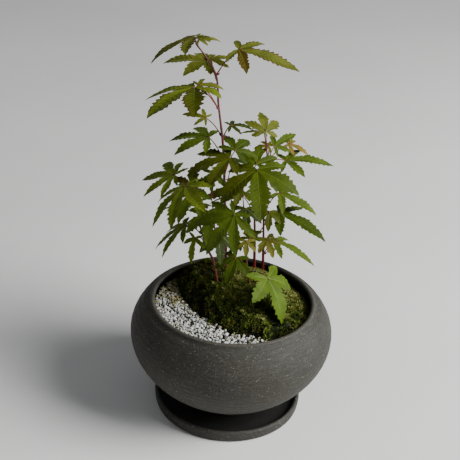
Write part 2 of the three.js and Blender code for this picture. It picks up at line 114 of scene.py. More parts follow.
class Finish:
    """One material. What is the same all over is set on the shader, and what varies is wired to it."""

    def __init__(self, name, constants):
        self.material = bpy.data.materials.new(name)
        self.material.use_nodes = True
        self.tree = self.material.node_tree
        self.shader = self.tree.nodes["Principled BSDF"]
        for label, value in constants.items():
            self.shader.inputs[label].default_value = value

    def node(self, kind, settings, sockets, out=0):
        node = self.tree.nodes.new(kind)
        for label, value in settings.items():
            setattr(node, label, value)
        for label, value in sockets.items():
            if isinstance(value, Signal):
                self.tree.links.new(value.socket, node.inputs[label])
            else:
                node.inputs[label].default_value = value
        return Signal(self, node.outputs[out])

    def place(self, stretch=(1, 1, 1)):
        where = self.node("ShaderNodeTexCoord", {}, {}, out="Object")
        return self.node("ShaderNodeMapping", {}, {"Vector": where, "Scale": stretch})

    def height(self):
        return self.node("ShaderNodeSeparateXYZ", {}, {"Vector": self.place()}, out="Z")

    def noise(self, grain, detail, stretch=(1, 1, 1)):
        """Cloudy variation from 0 to 1 whose patches are about grain millimetres wide."""
        return self.node("ShaderNodeTexNoise", {}, {
            "Vector": self.place(stretch), "Scale": 1 / (grain * MM), "Detail": detail})

    def cells(self, grain, out="Distance"):
        """Distance to the nearest of many scattered points, or that point's own colour."""
        return self.node("ShaderNodeTexVoronoi", {}, {
            "Vector": self.place(), "Scale": 1 / (grain * MM)}, out=out)

    def ramp(self, signal, low, high):
        """A signal stretched so that low becomes 0 and high becomes 1."""
        return self.node("ShaderNodeMapRange", {"clamp": True}, {
            "Value": signal, "From Min": low, "From Max": high})

    def mix(self, share, first, second):
        return self.node("ShaderNodeMix", {"data_type": "RGBA"}, {0: share, 6: first, 7: second}, out=2)

    def relief(self, height, depth, strength):
        self.feed("Normal", self.node("ShaderNodeBump", {}, {
            "Height": height, "Distance": depth * MM, "Strength": strength}))

    def feed(self, label, signal):
        self.tree.links.new(signal.socket, self.shader.inputs[label])


CLAY_MARKS = {
    "dust": "5d5b53",
    "dark line": "1a1915",
    "pale line": "55544d",
    "pit": "12110f",
    # painted highlight on the rim's top
    "painted rim highlight": "57544a",
    "speck": "8f8d84",
    # painted shade on the saucer's floor under the bowl
    "painted shade under bowl": "0c0c0b",
}
SPECK_GRAIN = 1.3
RIM_HIGHLIGHT = (71.4, 72.6)  # heights between which the rim's clay takes a painted highlight
PAINTED_SHADE_EDGE = 0.4  # width of the soft edge of the painted shade inside the saucer
BARK_FOOT = (105, 66)  # heights between which the bark turns brown, going down
PORE_TONE = "8a5f48"


def stoneware(name, dark, light, warm, well=0.0):
    """Unglazed clay: cloudy grey, brushed lines, pale and dark specks, and a painted highlight on the
    rim. Inside the radius well, in millimetres, it is painted nearly black, as shade under the bowl."""
    marks = {label: tone(code) for label, code in CLAY_MARKS.items()}
    clay = Finish(name, {"Specular IOR Level": 0.35})
    cloud = clay.ramp(clay.noise(22, 4), 0.3, 0.7)
    fine = clay.noise(0.7, 2)
    drag = clay.noise(1.3, 4, (0.3, 0.3, 2.4))
    chance = clay.node("ShaderNodeSeparateColor", {}, {"Color": clay.cells(1.5, "Color")})
    pale = (clay.cells(SPECK_GRAIN) < 0.2) * (chance > 0.76)
    pits = clay.ramp(clay.cells(SPECK_GRAIN), 0.16, 0.1) * clay.ramp(clay.noise(5, 1), 0.5, 0.6)
    body = clay.mix(cloud, tone(dark), tone(light))
    body = clay.mix(clay.ramp(clay.noise(45, 2), 0.5, 0.72) * 0.7, body, tone(warm))
    body = clay.mix(clay.ramp(fine, 0.4, 0.75) * 0.42, body, marks["dust"])
    body = clay.mix(clay.ramp(drag, 0.5, 0.72) * 0.38, body, marks["dark line"])
    body = clay.mix(clay.ramp(drag, 0.48, 0.32) * 0.22, body, marks["pale line"])
    body = clay.mix(pits * 0.7, body, marks["pit"])
    # a painted highlight along the rim's top, paler and browner
    rim_highlight = clay.ramp(clay.height(), RIM_HIGHLIGHT[0] * MM, RIM_HIGHLIGHT[1] * MM) * (0.15 + 0.4 * clay.noise(4, 3))
    body = clay.mix(rim_highlight, body, marks["painted rim highlight"])
    body = clay.mix(pale * (0.25 + 0.7 * clay.noise(3, 1)), body, marks["speck"])
    # painted shade: inside the saucer, under the bowl, the clay turns nearly black
    if well:
        flat = clay.node("ShaderNodeVectorMath", {"operation": "MULTIPLY"}, {0: clay.place(), 1: (1, 1, 0)})
        reach = clay.node("ShaderNodeVectorMath", {"operation": "LENGTH"}, {0: flat}, out="Value")
        painted_shade = clay.ramp(reach, (well + PAINTED_SHADE_EDGE) * MM, well * MM)
        body = clay.mix(painted_shade * 0.85, body, marks["painted shade under bowl"])
    clay.feed("Base Color", body)
    clay.feed("Roughness", 0.6 + 0.22 * fine)
    clay.relief(fine * 0.5 + drag * 0.8 - pits * 0.8, 0.2, 0.6)
    return clay.material


def plain_tones(name, first, second, grain, roughness, relief_grain, depth, level):
    """Two close tones in cloudy patches, with a fine relief."""
    skin = Finish(name, {"Specular IOR Level": level})
    patch = skin.ramp(skin.noise(grain, 3), 0.34, 0.66)
    fine = skin.noise(relief_grain, 2)
    skin.feed("Base Color", skin.mix(patch, tone(first), tone(second)))
    skin.feed("Roughness", roughness - 0.08 + 0.16 * fine)
    skin.relief(fine, depth, 0.6)
    return skin.material


def young_bark(name, dark, light, foot):
    """Red young bark, browner near the ground, with pale pores."""
    bark = Finish(name, {"Specular IOR Level": 0.5})
    low = bark.ramp(bark.height(), BARK_FOOT[0] * MM, BARK_FOOT[1] * MM)
    streak = bark.noise(1.6, 3, (1, 1, 0.25))
    red = bark.mix(bark.ramp(streak, 0.35, 0.7), tone(dark), tone(light))
    body = bark.mix(low * 0.75, red, tone(foot))
    pores = bark.ramp(bark.cells(1.4), 0.2, 0.12) * 0.5
    bark.feed("Base Color", bark.mix(pores, body, tone(PORE_TONE)))
    bark.feed("Roughness", 0.38 + 0.25 * streak)
    bark.relief(streak + pores, 0.12, 0.7)
    return bark.material


def leaf_skin(name, first, second):
    """Two close greens in soft patches, a fine net of veinlets, and a dull sheen."""
    skin = Finish(name, {"Specular IOR Level": 0.1})
    patch = skin.ramp(skin.noise(6, 3), 0.32, 0.68)
    net = skin.ramp(skin.cells(0.8), 0.28, 0.5)
    body = skin.mix(patch, tone(first), tone(second))
    skin.feed("Base Color", skin.mix(net * 0.22, body, tone(first)))
    skin.feed("Roughness", 0.56 + 0.12 * skin.noise(2.5, 2))
    skin.relief(skin.noise(1.2, 2) - net * 0.5, 0.08, 0.6)
    return skin.material


LEAF_TINTS = {
    "green": ("404f10", "53651a"),
    "forest": ("2c3a05", "3a4a08"),
    "dark": ("1d2806", "28350a"),
    "deep": ("363b07", "4a500b"),
    "olive": ("585c18", "737628"),
    "khaki": ("4c5016", "636722"),
    "lime": ("5b6817", "768426"),
    "bronze": ("3a2e06", "4c3a0c"),
    "russet": ("6a5420", "836a30"),
    "fresh": ("374409", "47560f"),
    "bright": ("3c500a", "4e6414"),
    "gold": ("545010", "6a6422"),
}
VEIN_TINTS = {
    "leaf vein pale": ("4d5e12", "5c6e1c"),
    "leaf vein green": ("3e4b0a", "4b5910"),
}
# The first four moss tints are steps of painted light, from shade to a gold highlight; the brown is the
# moss's own.
MOSS_TINTS = {
    "moss shade": ("141a0a", "20290c"),
    "moss green": ("2c3a0c", "3e4c12"),
    "moss lit green": ("52601a", "687426"),
    "moss gold highlight": ("7c8240", "989a58"),
    "moss brown": ("4c3c18", "6a5826"),
}
GRIT_TINTS = {
    "grit white": ("b6b7b3", "d6d6d2"),
    "grit grey": ("7f817c", "9d9e97"),
    "grit ivory": ("98957f", "b4b09c"),
    "grit shade": ("262621", "3d3d37"),
    "grit green": ("7a744c", "9c9569"),
}

CLAY = stoneware("bowl stoneware", "23221d", "302f28", "2c251a")
SAUCER_WELL = 41.9  # radius inside the saucer's wall, which the painted shade under the bowl fills
SAUCER_CLAY = stoneware("saucer stoneware", "23221f", "302f2b", "2a261f", SAUCER_WELL)
BARKS = [
    young_bark("maroon bark", "3a0d10", "60191a", "54201a"),
    young_bark("brown red bark", "43160f", "6a2c1a", "6b3222"),
    young_bark("bright red bark", "4c0f10", "781f1b", "742019"),
]
STALK_SKIN = plain_tones("leaf stalk", "541519", "752826", 9, 0.45, 0.8, 0.05, 0.4)
BUD_SKIN = plain_tones("bud scales", "481212", "632a1e", 2, 0.5, 0.5, 0.08, 0.4)
SOIL = plain_tones("damp soil", "0d0a07", "1c1610", 3, 0.9, 0.9, 0.8, 0.2)
LEAVES = {name: leaf_skin("leaf " + name, first, second) for name, (first, second) in LEAF_TINTS.items()}
VEINS = [plain_tones(name, a, b, 5, 0.5, 0.7, 0.05, 0.3) for name, (a, b) in VEIN_TINTS.items()]
MOSSES = [plain_tones(name, a, b, 4, 0.8, 0.6, 0.2, 0.2) for name, (a, b) in MOSS_TINTS.items()]
GRITS = [plain_tones(name, a, b, 1.5, 0.55, 0.35, 0.12, 0.4) for name, (a, b) in GRIT_TINTS.items()]

# ---------------- making pieces


class Heap:
    """Gathers the points and faces of many small things, each with its finish, into one piece."""

    def __init__(self):
        self.points = []
        self.faces = []
        self.finishes = []
        self.count = 0

    def add(self, points, faces, finish=0):
        """Adds one thing, with one finish for all its faces or a list of them, one a face."""
        self.points.append(points)
        self.faces.extend([[i + self.count for i in face] for face in faces])
        self.finishes.extend(finish if isinstance(finish, list) else [finish] * len(faces))
        self.count += len(points)

    def scatter(self, points, faces, finishes):
        """Adds many things of one build: points is things x corners x 3, and finishes one each."""
        things, corners = points.shape[:2]
        starts = self.count + corners * np.arange(things)
        every = starts[:, None, None] + np.array(faces)[None]
        self.points.append(points.reshape(-1, 3))
        self.faces.extend(every.reshape(-1, len(faces[0])).tolist())
        self.finishes.extend(np.repeat(finishes, len(faces)).tolist())
        self.count += things * corners

    def make(self, name, materials, slot, smooth=True, nodes=()):
        make_piece(name, np.concatenate(self.points), self.faces, materials,
                   self.finishes, smooth, nodes)


def make_piece(name, points, faces, materials, finishes=None, smooth=True, nodes=()):
    """A mesh piece from points in millimetres, riding with the pot, that stands for the solids named."""
    mesh = bpy.data.meshes.new(name)
    mesh.from_pydata((np.asarray(points) * MM).tolist(), [], faces)
    for material in materials:
        mesh.materials.append(material)
    if finishes is not None:
        mesh.polygons.foreach_set("material_index", finishes)
    mesh.polygons.foreach_set("use_smooth", [smooth] * len(mesh.polygons))
    mesh.update()
    piece = bpy.data.objects.new(name, mesh)
    bpy.context.scene.collection.objects.link(piece)
    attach(piece, "root")
    if nodes:
        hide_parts(*nodes)


def lathe(profile, segments, wobble=0.0):
    """A closed profile of (radius, height) turned round the Z axis. The ends of it lie on the axis."""
    turn = np.linspace(0, 2 * math.pi, segments, endpoint=False)
    ring = np.array(profile[1:-1], float)
    sway = 1 + wobble * (np.sin(2 * turn + 0.8) + 0.6 * np.sin(3 * turn + 2.1))
    radius = ring[:, 0][:, None] * sway[None]
    x = radius * np.cos(turn)
    y = radius * np.sin(turn)
    z = np.repeat(ring[:, 1][:, None], segments, axis=1)
    points = np.stack([x, y, z], axis=-1).reshape(-1, 3)
    first = len(points)
    points = np.vstack([points, [0, 0, profile[0][1]], [0, 0, profile[-1][1]]])
    faces = []
    for k in range(segments):
        step = (k + 1) % segments
        for i in range(len(ring) - 1):
            a, b = i * segments, (i + 1) * segments
            faces.append([a + k, a + step, b + step, b + k])
        last = (len(ring) - 1) * segments
        faces.append([first, step, k])
        faces.append([first + 1, last + k, last + step])
    return points, faces


def unit_rows(vectors):
    return vectors / np.linalg.norm(vectors, axis=1)[:, None]


class Way:
    """A smooth line through points, walked by the share of its length."""

    STEPS = 40

    def __init__(self, points):
        points = np.array(points, float)
        knots = [2 * points[0] - points[1], *points, 2 * points[-1] - points[-2]]
        t = np.linspace(0, 1, self.STEPS, endpoint=False)[:, None]
        line = []
        for a, b, c, d in zip(knots, knots[1:], knots[2:], knots[3:]):
            line.append(0.5 * (2 * b + (c - a) * t + (2 * a - 5 * b + 4 * c - d) * t ** 2
                               + (3 * b - a - 3 * c + d) * t ** 3))
        self.line = np.vstack([*line, points[-1]])
        run = np.linalg.norm(np.diff(self.line, axis=0), axis=1)
        self.run = np.concatenate([[0], np.cumsum(run)])
        self.length = self.run[-1]

    def at(self, share):
        place = np.asarray(share) * self.length
        return np.stack([np.interp(place, self.run, self.line[:, k]) for k in range(3)], axis=-1)

    def ahead(self, share):
        step = self.at(min(share + 0.01, 1)) - self.at(max(share - 0.01, 0))
        return step / np.linalg.norm(step)

    def share_at_height(self, z):
        return float(np.interp(z, self.line[:, 2], self.run)) / self.length


def tube(centres, radii, sides):
    """Rings round a line of centres, joined by faces, with both ends closed."""
    centres = np.asarray(centres, float)
    ahead = unit_rows(np.gradient(centres, axis=0))
    side = np.cross(ahead[0], (0, 1, 0) if abs(ahead[0][1]) < 0.7 else (1, 0, 0))
    turn = np.linspace(0, 2 * math.pi, sides, endpoint=False)[:, None]
    rings = []
    for centre, direction, radius in zip(centres, ahead, radii):
        side = side - direction * side.dot(direction)
        side /= np.linalg.norm(side)
        across = np.cross(direction, side)
        rings.append(centre + radius * (np.cos(turn) * side + np.sin(turn) * across))
    faces = [list(range(sides))[::-1]]
    for i in range(len(rings) - 1):
        a, b = i * sides, (i + 1) * sides
        for k in range(sides):
            step = (k + 1) % sides
            faces.append([a + k, a + step, b + step, b + k])
    last = (len(rings) - 1) * sides
    faces.append(list(range(last, last + sides)))
    return np.vstack(rings), faces


def dice(seed):
    """Repeatable numbers from -1 to 1."""
    state = (seed * 7919 + 104729) % 2147483647
    while True:
        state = state * 16807 % 2147483647
        yield state / 2147483647 * 2 - 1


# ---------------- bowl and saucer

GAP = 0.3
SAUCER_RADIUS = 44.5
SAUCER_HEIGHT = 7.6
SAUCER_WALL = 2.6
SAUCER_FLOOR = 3.6
BELLY_RADIUS = 60
BELLY_HEIGHT = 51.5
RIM_RADIUS = 49
RIM_HEIGHT = 72.8
RIM_WIDTH = 3
BOWL_WALL = 5.2
FOOT_RADIUS = 25
FOOT_WIDTH = 4.5
FOOT_RECESS = 2
FOOT_BOTTOM = SAUCER_FLOOR + GAP
BOWL_FLOOR = 11
BOWL_FLOOR_RADIUS = 21
SHOULDER = 1.9
LOWER = 1.47
LOWER_RADIUS = 10
LOWER_HEIGHT = 4
POT_SEGMENTS = 180
THROWING_LINE = 3.4  # height of one turn of the throwing spiral
THROWING_DEPTH = 0.07
THROWN_WALL = (9, 69.8)  # heights of the outside that the spiral covers
THROWN_STEPS = 96
INNER_WALL = (69.5, 17)  # heights of the inside, from the lip down
INNER_STEPS = 40
LIP_STEPS = 13
SAUCER_LIP = 1.3  # radius of the saucer's rounded edge
SAUCER_LIP_STEPS = 11
SAUCER_OUTSIDE = [(2.6, 0), (1.6, 0.25), (0.8, 1.0), (0.35, 2.4), (0.1, 4.4)]  # in from the edge, height
SAUCER_INSIDE = [(0.1, 1.9), (0.6, 0.8), (1.4, 0.2), (2.6, 0)]  # in from the wall, height over the floor
POT_WOBBLE = 0.0008


def outer_radius(z):
    if z >= BELLY_HEIGHT:
        rise = min((z - BELLY_HEIGHT) / (RIM_HEIGHT - BELLY_HEIGHT), 1)
        return RIM_RADIUS + (BELLY_RADIUS - RIM_RADIUS) * math.cos(math.asin(rise)) ** SHOULDER
    drop = (BELLY_HEIGHT - z) / (BELLY_HEIGHT - LOWER_HEIGHT)
    return LOWER_RADIUS + (BELLY_RADIUS - LOWER_RADIUS) * math.cos(math.asin(drop)) ** LOWER


def inner_radius(z):
    mouth = RIM_RADIUS - RIM_WIDTH
    return max(outer_radius(z) - BOWL_WALL, mouth if z > BELLY_HEIGHT else 0)


def half_round(radius, middle, top, steps):
    """A rounded edge seen in section, from its outer side over the top to its inner side."""
    return [
        (middle + radius * math.cos(a), top - radius + radius * math.sin(a))
        for a in np.linspace(0, math.pi, steps)
    ]


def bowl():
    lip = RIM_WIDTH / 2
    thrown = [
        (outer_radius(z) + THROWING_DEPTH * math.sin(2 * math.pi * z / THROWING_LINE), z)
        for z in np.linspace(*THROWN_WALL, THROWN_STEPS)
    ]
    profile = [
        (0, FOOT_BOTTOM + FOOT_RECESS),
        (FOOT_RADIUS - FOOT_WIDTH - 1, FOOT_BOTTOM + FOOT_RECESS),
        (FOOT_RADIUS - FOOT_WIDTH, FOOT_BOTTOM),
        (FOOT_RADIUS - 0.8, FOOT_BOTTOM),
        (FOOT_RADIUS, FOOT_BOTTOM + 1),
        (FOOT_RADIUS + 0.6, FOOT_BOTTOM + 2.6),
        *thrown,
        *half_round(lip, RIM_RADIUS - lip, RIM_HEIGHT, LIP_STEPS),
        *[(inner_radius(z), z) for z in np.linspace(*INNER_WALL, INNER_STEPS)],
        (BOWL_FLOOR_RADIUS, BOWL_FLOOR),
        (0, BOWL_FLOOR),
    ]
    points, faces = lathe(profile, POT_SEGMENTS, POT_WOBBLE)
    make_piece("stoneware_bowl", points, faces, [CLAY], nodes=["bowl"])


def saucer():
    r = SAUCER_RADIUS
    inner = r - SAUCER_WALL
    profile = [
        (0, 0),
        *[(r - inset, z) for inset, z in SAUCER_OUTSIDE],
        *half_round(SAUCER_LIP, r - SAUCER_LIP, SAUCER_HEIGHT, SAUCER_LIP_STEPS),
        *[(inner - inset, SAUCER_FLOOR + z) for inset, z in SAUCER_INSIDE],
        (0, SAUCER_FLOOR),
    ]
    points, faces = lathe(profile, POT_SEGMENTS, POT_WOBBLE)
    make_piece("stoneware_saucer", points, faces, [SAUCER_CLAY], nodes=["saucer"])


# ---------------- soil, moss and grit

SOIL_TOP = 60
GROUND = SOIL_TOP + GAP
GRIT_TOP = 67
GRIT_RADIUS = 47.6
GRIT_FALL = 1.2
MOSS_RADIUS = 45.4
MOSS_EDGE_TOP = 64.5
MOSS_CROWN = 3.5
MOSS_EDGE_FALL = 0.45
COVER_LINE = (32, 32, 66)  # centre and radius of the circle that parts moss from grit
MOSS_CUSHIONS = [(-20, 27, 17, 12), (8, 26, 19, 6), (20, -4, 17, 5.5), (-3, -2, 15, 6)]
MOSS_HEART = (8, 10)  # a point inside the moss from which its whole edge can be seen
MOSS_RINGS = 52
MOSS_SPOKES = 220
MOSS_SINK = 0.9  # how far the ground between the tufts lies below the solid's top
MOSS_EDGE_DROP = 3.2  # how far the moss rolls down at its very edge
TUFT_COUNT = 520
TUFT_SIZES = (1.8, 4.2)
TUFT_RISES = (0.4, 2.6)
SPRIG_COUNT = 7000
EDGE_SPRIGS = SPRIG_COUNT // 6  # sprigs that fringe the edge
EDGE_SHARE = 0.94  # where the fringe starts, as a share of the way to the edge
SPRIG_SIZES = (1.5, 3.1)
SPRIG_LEAVES = 6
SPRIG_LEANS = (0.45, 1.1)  # of its leaves, in radians from the sprig's own axis
SPRIG_LEAF_WIDTH = 0.11
SPRIG_LEAF_ARCH = 0.14
OUTWARD_LEAN = 1.5  # of the sprigs at the edge
PAINTED_LIGHT_STEPS = (0.15, 0.62, 1.25)  # steps of painted light at which shade turns green, green turns lit green, and lit green turns gold highlight
BROWN_MOSS = list(MOSS_TINTS).index("moss brown")
BROWN_PATCH = (-24, 22, 260)  # its centre, and the square of its reach
BROWN_CHANCES = (0.06, 0.2)  # anywhere, and what the patch adds at its centre
STONE_COUNT = 4200
STONE_SIZES = (0.6, 1.15)
STONE_FLATNESS = 0.6
STONE_STEPS = (0.7, 0.88)  # shares of white stones, and of white and grey ones
SHADE_STONE = list(GRIT_TINTS).index("grit shade")
GREEN_STONE = list(GRIT_TINTS).index("grit green")
GRIT_DEPTH = 2.8
SHADE_DEPTH = 0.38  # share of the grit's depth below which its stones are dark
GRIT_EDGE_SPREAD = 1.1
GRIT_MARGIN = 0.9  # left free between the stones' centres and the bowl's wall
SCATTER_REACH = 48
GREEN_FROM = -2  # place from which the green spreads towards the back
GREEN_BLEND = 4
GREEN_SPREAD = (2, 18)  # how far it reaches from the moss: in front, and what the back adds
GREEN_SHARE = (0.3, 0.65)  # of the stones beside the moss: in front, and what the back adds
CRUMB_COUNT = 900
CRUMB_SIZES = (0.5, 1.5)
CRUMB_FLATNESS = 0.7

ICO = (1 + math.sqrt(5)) / 2
STONE_CORNERS = np.array([
    (-1, ICO, 0), (1, ICO, 0), (-1, -ICO, 0), (1, -ICO, 0), (0, -1, ICO), (0, 1, ICO),
    (0, -1, -ICO), (0, 1, -ICO), (ICO, 0, -1), (ICO, 0, 1), (-ICO, 0, -1), (-ICO, 0, 1),
]) / math.hypot(1, ICO)
STONE_FACES = [
    (0, 11, 5), (0, 5, 1), (0, 1, 7), (0, 7, 10), (0, 10, 11), (1, 5, 9), (5, 11, 4), (11, 10, 2),
    (10, 7, 6), (7, 1, 8), (3, 9, 4), (3, 4, 2), (3, 2, 6), (3, 6, 8), (3, 8, 9), (4, 9, 5),
    (2, 4, 11), (6, 2, 10), (8, 6, 7), (9, 8, 1),
]


def moss_height(x, y):
    edge = np.hypot(x, y) / MOSS_RADIUS
    height = MOSS_EDGE_TOP + MOSS_CROWN * (1 - edge ** 4)
    for cx, cy, spread, rise in MOSS_CUSHIONS:
        away = ((x - cx) ** 2 + (y - cy) ** 2) / spread ** 2
        height = height + rise * np.exp(-away) * (1 - MOSS_EDGE_FALL * edge ** 6)
    return height


def grit_height(x, y):
    return GRIT_TOP - GRIT_FALL * (np.hypot(x, y) / GRIT_RADIUS) ** 6


def edge_distance(turn):
    """How far the moss reaches from its heart in each direction."""
    dx, dy = np.cos(turn), np.sin(turn)
    reach = np.inf
    for cx, cy, radius in [(0, 0, MOSS_RADIUS), COVER_LINE]:
        ox, oy = MOSS_HEART[0] - cx, MOSS_HEART[1] - cy
        along = ox * dx + oy * dy
        reach = np.minimum(reach, -along + np.sqrt(along ** 2 + radius ** 2 - ox ** 2 - oy ** 2))
    return reach


def from_heart(turn, share):
    """Places in the moss, each a share of the way from its heart to its edge."""
    reach = share * edge_distance(turn)
    return MOSS_HEART[0] + reach * np.cos(turn), MOSS_HEART[1] + reach * np.sin(turn)


def tuft_field(rng):
    """Centres, sizes and heights of the small cushions that the moss is made of."""
    turn = rng.uniform(0, 2 * math.pi, TUFT_COUNT)
    x, y = from_heart(turn, np.sqrt(rng.uniform(0, 1, TUFT_COUNT)))
    return x, y, rng.uniform(*TUFT_SIZES, TUFT_COUNT), rng.uniform(*TUFT_RISES, TUFT_COUNT)


def tufted(x, y, tufts):
    """Extra height of the moss: the tallest of the cushions that stand over each point."""
    height = np.zeros(np.shape(x))
    for tx, ty, size, rise in zip(*tufts):
        away = ((x - tx) ** 2 + (y - ty) ** 2) / size ** 2
        height = np.maximum(height, rise * np.clip(1 - away, 0, 1))
    return height


def moss_top(x, y, share, tufts):
    return moss_height(x, y) - MOSS_SINK + tufted(x, y, tufts) - MOSS_EDGE_DROP * share ** 14


def moss():
    rng = np.random.default_rng(11)
    tufts = tuft_field(rng)
    rings, spokes = MOSS_RINGS, MOSS_SPOKES
    turn = np.linspace(0, 2 * math.pi, spokes, endpoint=False)
    share = np.linspace(0, 1, rings + 1)[1:]
    x, y = from_heart(turn, share[:, None])
    z = moss_top(x, y, share[:, None], tufts)
    foot = np.stack([x[-1], y[-1], np.full(spokes, GROUND)], axis=-1)
    points = np.vstack([np.stack([x, y, z], axis=-1).reshape(-1, 3), foot])
    top = np.array([[*MOSS_HEART, float(moss_top(*MOSS_HEART, 0, tufts))]])
    points = np.vstack([points, top])
    faces = []
    for k in range(spokes):
        step = (k + 1) % spokes
        faces.append([len(points) - 1, k, step])
        for i in range(rings):
            a, b = i * spokes, (i + 1) * spokes
            faces.append([a + k, b + k, b + step, a + step])
    make_piece("moss_ground", points, faces, [MOSSES[0]], nodes=["moss_mound"])
    moss_sprigs(rng, tufts)


def moss_sprigs(rng, tufts):
    """Small stars of pointed leaves all over the moss, with painted light: lighter on the cushions than
    between them.
    """
    count = SPRIG_COUNT
    turn = rng.uniform(0, 2 * math.pi, count)
    share = np.sqrt(rng.uniform(0, 1, count))
    share[:EDGE_SPRIGS] = rng.uniform(EDGE_SHARE, 1, EDGE_SPRIGS)
    x, y = from_heart(turn, share)
    lift = tufted(x, y, tufts)
    root = np.stack([x, y, moss_top(x, y, share, tufts) - 0.2], axis=-1)
    out = np.stack([np.cos(turn), np.sin(turn), np.zeros(count)], axis=-1) * (share ** 6)[:, None]
    grow = unit_rows(out * OUTWARD_LEAN + np.array([0, 0, 1]) + rng.normal(0, 0.22, (count, 3)))
    side = unit_rows(np.cross(grow, [1, 0, 0]))
    front = np.cross(grow, side)
    size = rng.uniform(*SPRIG_SIZES, count)
    leaves = []
    for k in range(SPRIG_LEAVES):
        angle = 2 * math.pi * k / SPRIG_LEAVES + rng.uniform(-0.5, 0.5, count)
        lean = rng.uniform(*SPRIG_LEANS, count)
        spoke = np.cos(angle)[:, None] * side + np.sin(angle)[:, None] * front
        flank = np.cross(grow, spoke) * (SPRIG_LEAF_WIDTH * size)[:, None]
        tip = root + (np.cos(lean) * size)[:, None] * grow + (np.sin(lean) * size)[:, None] * spoke
        middle = root + (tip - root) * 0.5 + grow * (SPRIG_LEAF_ARCH * size)[:, None]
        leaves += [root, middle + flank, tip, middle - flank]
    points = np.stack(leaves, axis=1)
    faces = [(4 * k, 4 * k + 1, 4 * k + 2, 4 * k + 3) for k in range(SPRIG_LEAVES)]
    heap = Heap()
    heap.scatter(points, faces, moss_finishes(rng, x, y, lift))
    heap.make("moss_sprigs", MOSSES, "moss", smooth=False)


def moss_finishes(rng, x, y, lift):
    """Each sprig's moss: painted light makes it lighter high on a tuft, to the right and at the back, and
    some of it is brown.
    """
    count = len(x)
    # painted light: lighter high on a tuft, towards the lit right and towards the back
    painted_light_slope = 0.021 * x + 0.023 * y - 0.13
    light = lift / 1.8 + 0.2 * np.sin(x / 9 + 1) + painted_light_slope + rng.normal(0, 0.35, count)
    finish = np.digitize(light, PAINTED_LIGHT_STEPS)
    cx, cy, reach = BROWN_PATCH
    patch = np.exp(-((x - cx) ** 2 + (y - cy) ** 2) / reach)
    finish[rng.uniform(0, 1, count) < BROWN_CHANCES[0] + BROWN_CHANCES[1] * patch] = BROWN_MOSS
    return finish


def stones(rng, places, sizes, flatness):
    """Angular stones: round bodies with each corner pushed in or out, squashed and turned."""
    count = len(places)
    corners = STONE_CORNERS[None] * rng.uniform(0.62, 1.12, (count, len(STONE_CORNERS), 1))
    corners = corners * rng.uniform(flatness, 1.15, (count, 1, 3))
    axes = np.linalg.qr(rng.normal(0, 1, (count, 3, 3)))[0]
    turned = np.einsum("nij,nkj->nki", axes, corners)
    return places[:, None] + turned * sizes[:, None, None]


def grit():
    """Stones over the grit's solid. Those near the moss, most of all at the back, are green."""
    rng = np.random.default_rng(23)
    places, shades = [], []
    cx, cy, line = COVER_LINE
    while len(places) < STONE_COUNT:
        x, y = rng.uniform(-SCATTER_REACH, SCATTER_REACH, 2)
        middle = math.hypot(x, y)
        over = math.hypot(x - cx, y - cy) - line
        if middle > GRIT_RADIUS - GRIT_MARGIN or over < rng.normal(0.2, GRIT_EDGE_SPREAD):
            continue
        back = 1 / (1 + math.exp((GREEN_FROM - y) / GREEN_BLEND))
        depth = rng.uniform(0, 1)
        z = grit_height(x, y) - GRIT_DEPTH * depth + 0.25 * rng.normal()
        places.append((x, y, z))
        spread = GREEN_SPREAD[0] + GREEN_SPREAD[1] * back
        green = math.exp(-max(over, 0) / spread) * (GREEN_SHARE[0] + GREEN_SHARE[1] * back)
        if rng.uniform(0, 1) < green:
            shades.append(GREEN_STONE)
        elif depth > SHADE_DEPTH:
            shades.append(SHADE_STONE)
        else:
            shades.append(int(np.digitize(rng.uniform(0, 1), STONE_STEPS)))
    sizes = rng.uniform(*STONE_SIZES, len(places))
    heap = Heap()
    heap.scatter(stones(rng, np.array(places), sizes, STONE_FLATNESS), STONE_FACES, np.array(shades))
    heap.make("grit_stones", GRITS, "grit", smooth=False, nodes=["grit_bed"])
    soil_crumbs(rng)


def soil_crumbs(rng):
    """Loose crumbs in the open ring of soil between the moss and the bowl's wall."""
    turn = rng.uniform(0, 2 * math.pi, CRUMB_COUNT)
    reach = rng.uniform(MOSS_RADIUS - 3, inner_radius(SOIL_TOP) - 1.6, CRUMB_COUNT)
    level = np.full(CRUMB_COUNT, GROUND)
    places = np.stack([reach * np.cos(turn), reach * np.sin(turn), level], axis=-1)
    crumbs = stones(rng, places, rng.uniform(*CRUMB_SIZES, CRUMB_COUNT), CRUMB_FLATNESS)
    heap = Heap()
    heap.scatter(crumbs, STONE_FACES, np.zeros(CRUMB_COUNT, int))
    heap.make("soil_crumbs", [SOIL], "soil", smooth=False)
    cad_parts["soil"].data.materials.clear()
    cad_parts["soil"].data.materials.append(SOIL)


# ---------------- stems and boughs

